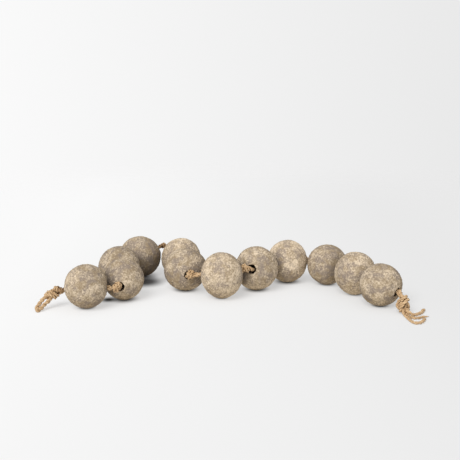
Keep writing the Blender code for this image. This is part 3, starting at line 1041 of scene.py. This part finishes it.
# %% Dye the twine
jute, tree, shader = new_material("jute_fibre")
fibre = tree.nodes.new("ShaderNodeAttribute")
fibre.attribute_name = "fibre"
coordinates = tree.nodes.new("ShaderNodeTexCoord").outputs["Object"]
streaks = noise_node(tree, fibre.outputs["Vector"], 3.2, 2.0, 0.6)
fine = noise_node(tree, fibre.outputs["Vector"], 9.0, 1.0, 0.5)
stains = noise_node(tree, coordinates, 160, 2.0, 0.5)
fourth_knot, neck_shade = from_first_ball(*KNOTS[4][0]), neck + np.array((2, 0, 1)) * MM
past_fourth = away_from(tree, coordinates, fourth_knot, 4 * MM, 26 * MM)
past_neck = away_from(tree, coordinates, neck_shade, 3 * MM, 10 * MM)
layers = (0.75, streaks), (0.45, fine), (0.5, stains), (0.25, past_fourth), (0.2, past_neck)
tone = weighted_sum(tree, -0.80, *layers)
colour = ramp_node(tree, tone, (
    (0.14, (0.180, 0.102, 0.050)),
    (0.42, (0.405, 0.262, 0.137)),
    (0.64, (0.590, 0.420, 0.245)),
    (0.86, (0.775, 0.625, 0.425)),
))
set_inputs(tree, shader, Base_Color=colour, Roughness=0.82, Specular_IOR_Level=0.3)
grain = weighted_sum(tree, 0.0, (0.5, streaks), (0.5, fine))
make_rough(tree, shader, grain, 0.9, 0.18 * MM)
for piece in (twine, *cords):
    piece.data.materials.append(jute)

# %% [markdown]
# ## The table and the light
# The garland lies on a plain pale floor in a bright studio. Near the horizon the sky is as bright
# as the lit floor, brighter at the left, and the floor fades out into it, so no edge and no
# horizon shows from any side. The floor's grey is painted lighter at the left as well, as light
# from that side. Higher up, the wall at the front is bright, the one behind is dim, and a softbox
# hangs overhead. A broad lamp at the front left casts the soft shadows. The floor glows as well,
# a painted light that keeps its shadows pale. The glow is left out at the balls' feet, as painted
# contact shadows. In two corners between balls it is left out too and the paper is painted
# darker, as deeper painted shadows.

# %% Set how bright everything is
SKY_LEFT = 0.956
SKY_RIGHT = 0.815
SKY_MIDDLE = 0.885
SKY_SPREAD = 0.27
FLOOR_SPREAD = 0.335
SKY_HAZE = (0.05, 0.16)
SOFTBOX_EDGE = (0.55, 0.80)
SOFTBOX = 0.70
WALL_EDGE = (-0.20, 0.65)
WALL_FRONT = 0.85
WALL_BACK = 0.20
LAMP_LIGHT = 0.60

height, turn = np.meshgrid((np.arange(400) + 0.5) / 400, np.arange(360) * math.pi / 180)
frontness = np.cos(turn) * np.sqrt(1 - height ** 2)
glow = WALL_BACK + (WALL_FRONT - WALL_BACK) * soft_step(frontness, *WALL_EDGE)
glow += (SOFTBOX - glow) * soft_step(height, *SOFTBOX_EDGE)
glow = SKY_MIDDLE + (glow - SKY_MIDDLE) * soft_step(height, *SKY_HAZE)
FLOOR_LIGHT = 2 * float((glow * height).mean()) + LAMP_LIGHT
print("light on the floor: %.2f, of which the lamp gives %.2f" % (FLOOR_LIGHT, LAMP_LIGHT))

# %% Lay the floor
FLOOR_RADIUS = 1.4
FLOOR_FADE = (0.65, 1.35)
# Painted light: the share of the floor's brightness that it gives off itself.
FLOOR_GLOW = 0.54
FOOT = 5 * MM
# Painted contact shadows: in mm, how far round each ball's foot the glow fades, in the order of the string.
FOOT_SHADE = (15, 26, 24, 34, 40, 24, 12, 24, 26, 17, 15, 16)
# Painted shadows in two corners: across, back, near and far in mm, where the glow fades and the paper is
# darker.
CORNERS = ((-128, 48, 8, 40), (-174, -44, 2, 18))
CORNER_PAINTED_SHADOW = 0.35


def left_to_right(tree, sideways, spread, left, right):
    """A grey that goes from left to right over the spread of a sideways measure."""
    ramp = tree.nodes.new("ShaderNodeMapRange")
    set_inputs(tree, ramp, Value=sideways, From_Min=-spread, From_Max=spread, To_Min=left, To_Max=right)
    return ramp.outputs["Result"]


pick_nothing()
bpy.ops.mesh.primitive_circle_add(vertices=96, radius=FLOOR_RADIUS, fill_type="NGON", location=(0, 0, 0))
floor = bpy.context.object
floor.name = "floor"
edit_all()
bpy.ops.mesh.inset(thickness=FLOOR_RADIUS / 2)
bpy.ops.object.mode_set(mode="OBJECT")

# %% Make its paper
paper, tree, shader = new_material("pale_floor")
set_inputs(tree, shader, Roughness=0.95, Specular_IOR_Level=0.0)
places = tree.nodes.new("ShaderNodeTexCoord").outputs["Object"]
sideways = axes_of(tree, places)["X"]
# Painted light: the floor's grey is lighter at the left, as the sky is.
grey = left_to_right(tree, sideways, FLOOR_SPREAD, SKY_LEFT, SKY_RIGHT)
paper_grey = math_node(tree, "MULTIPLY", grey, (1 - FLOOR_GLOW) / FLOOR_LIGHT)
floor_glow = FLOOR_GLOW
# Painted shadow in the corners: no glow there, and the paper's grey is darker.
for across, back, near, far in CORNERS:
    corner = away_from(tree, places, (across * MM, back * MM, 0), near * MM, far * MM)
    painted_corner_shadow = math_node(tree, "MULTIPLY_ADD", corner, 1 - CORNER_PAINTED_SHADOW, CORNER_PAINTED_SHADOW)
    paper_grey = math_node(tree, "MULTIPLY", painted_corner_shadow, paper_grey)
    floor_glow = math_node(tree, "MULTIPLY", corner, floor_glow)
# Painted contact shadow: no glow at each ball's foot.
for middle, shade_reach in zip(middles, FOOT_SHADE):
    away = away_from(tree, places, (middle[0], middle[1], 0), FOOT, shade_reach * MM)
    floor_glow = math_node(tree, "MULTIPLY", away, floor_glow)
set_inputs(tree, shader, Base_Color=paper_grey, Emission_Color=grey, Emission_Strength=floor_glow)
fade = away_from(tree, places, (0, 0, 0), *FLOOR_FADE)
clear = tree.nodes.new("ShaderNodeBsdfTransparent")
blend = tree.nodes.new("ShaderNodeMixShader")
for socket, output in zip(blend.inputs, (fade, shader.outputs[0], clear.outputs[0])):
    plug(tree, socket, output)
set_inputs(tree, tree.nodes["Material Output"], Surface=blend.outputs[0])
floor.data.materials.append(paper)

# %% Light it
LAMP_PLACE = Vector((-0.50, -0.90, 1.10))
LAMP_SPREAD = 38
world = bpy.data.worlds.new("studio")
bpy.context.scene.world = world
world.use_nodes = True
tree = world.node_tree
axes = axes_of(tree, tree.nodes.new("ShaderNodeTexCoord").outputs["Generated"])
horizon = left_to_right(tree, axes["X"], SKY_SPREAD, SKY_LEFT, SKY_RIGHT)
frontness = math_node(tree, "MULTIPLY", axes["Y"], -1.0)
wall = step_node(tree, frontness, *WALL_EDGE)
wall = math_node(tree, "MULTIPLY_ADD", wall, WALL_FRONT - WALL_BACK, WALL_BACK)
overhead = step_node(tree, axes["Z"], *SOFTBOX_EDGE)
rise = math_node(tree, "SUBTRACT", SOFTBOX, wall)
room = math_node(tree, "MULTIPLY_ADD", rise, overhead, wall)
haze = step_node(tree, axes["Z"], *SKY_HAZE)
change = math_node(tree, "SUBTRACT", room, horizon)
strength = math_node(tree, "MULTIPLY_ADD", change, haze, horizon)
set_inputs(tree, tree.nodes["Background"], Color=(1, 1, 1, 1), Strength=strength)
bpy.ops.object.light_add(type="SUN", location=LAMP_PLACE)
lamp = bpy.context.object
lamp.name = "front_lamp"
lamp.data.energy = math.pi * LAMP_LIGHT * LAMP_PLACE.length / LAMP_PLACE.z
lamp.data.angle = math.radians(LAMP_SPREAD)
lamp.rotation_euler = (-LAMP_PLACE).to_track_quat("-Z", "Y").to_euler()
bpy.context.scene.view_settings.view_transform = "Standard"
